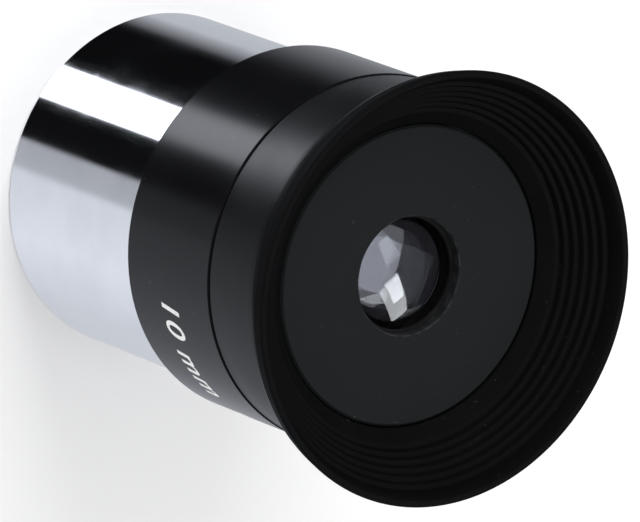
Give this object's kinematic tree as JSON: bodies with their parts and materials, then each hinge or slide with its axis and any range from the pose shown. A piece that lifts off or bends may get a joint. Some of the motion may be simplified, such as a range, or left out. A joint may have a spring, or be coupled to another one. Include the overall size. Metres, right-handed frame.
{
  "type": "telescope eyepiece",
  "caption": "Short cylindrical eyepiece with a bright metal nosepiece, dark satin body, recessed eye lens and a soft flared rubber eyecup.",
  "frame": {"origin": "centre of the nosepiece's open end, on the optical axis", "axes": "+Z along the optical axis, from the nosepiece towards the eyecup"},
  "size_m": [0.0402, 0.0402, 0.0486],
  "materials": {
    "chrome": "polished",
    "black_anodised": "bead-blasted satin black",
    "matte_black": "matte black",
    "rubber": "soft matte",
    "coated_glass": "polished, anti-reflection coated"
  },
  "bodies": {
    "housing": {"body": "black_anodised", "eye_plate": "black_anodised", "lens_cell": "matte_black", "cell_lock_ring": "matte_black", "eye_lens_flint": "coated_glass", "eye_lens_crown": "coated_glass", "field_lens_crown": "coated_glass", "field_lens_flint": "coated_glass", "lens_spacer": "matte_black", "lens_retaining_ring": "matte_black", "field_stop": "matte_black", "eyecup_sleeve": "rubber"},
    "nosepiece": {"barrel": "chrome", "light_baffle": "matte_black"},
    "skirt": {"eyecup_skirt": "rubber"}
  },
  "joints": [
    {"name": "barrel_unscrew", "type": "slide", "parent": "nosepiece", "child": "housing", "axis": [0, 0, 1], "range_m": [0, 0.0065]},
    {"name": "eyecup_fold", "type": "slide", "parent": "housing", "child": "skirt", "axis": [0, 0, -1], "range_m": [0, 0.0042], "stiffness_N_per_m": 250, "deforming": ["eyecup_skirt"]}
  ]
}
